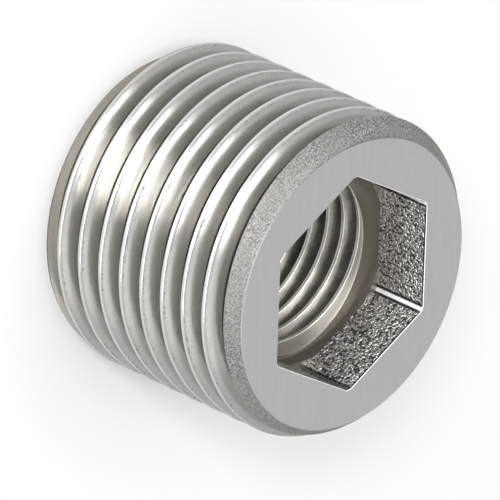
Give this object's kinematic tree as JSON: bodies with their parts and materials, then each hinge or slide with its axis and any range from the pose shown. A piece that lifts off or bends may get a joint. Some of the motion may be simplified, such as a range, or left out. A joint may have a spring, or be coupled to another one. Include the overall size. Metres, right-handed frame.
{
  "type": "reducing bushing",
  "caption": "Hexagon socket reducing bushing, a short steel plug threaded outside along its length with a smaller thread through its middle.",
  "frame": {"origin": "centre of the back end face, which it stands on", "axes": "+Z along the bushing's axis, from the back end face to the socket face; a corner of the hexagon socket points along +X"},
  "size_m": [0.021, 0.021, 0.0167],
  "materials": {
    "stainless_steel": "cast stainless steel with turned faces and threads; the hexagon socket keeps its rough cast skin"
  },
  "bodies": {
    "root": {"bushing": "stainless_steel"}
  },
  "joints": []
}
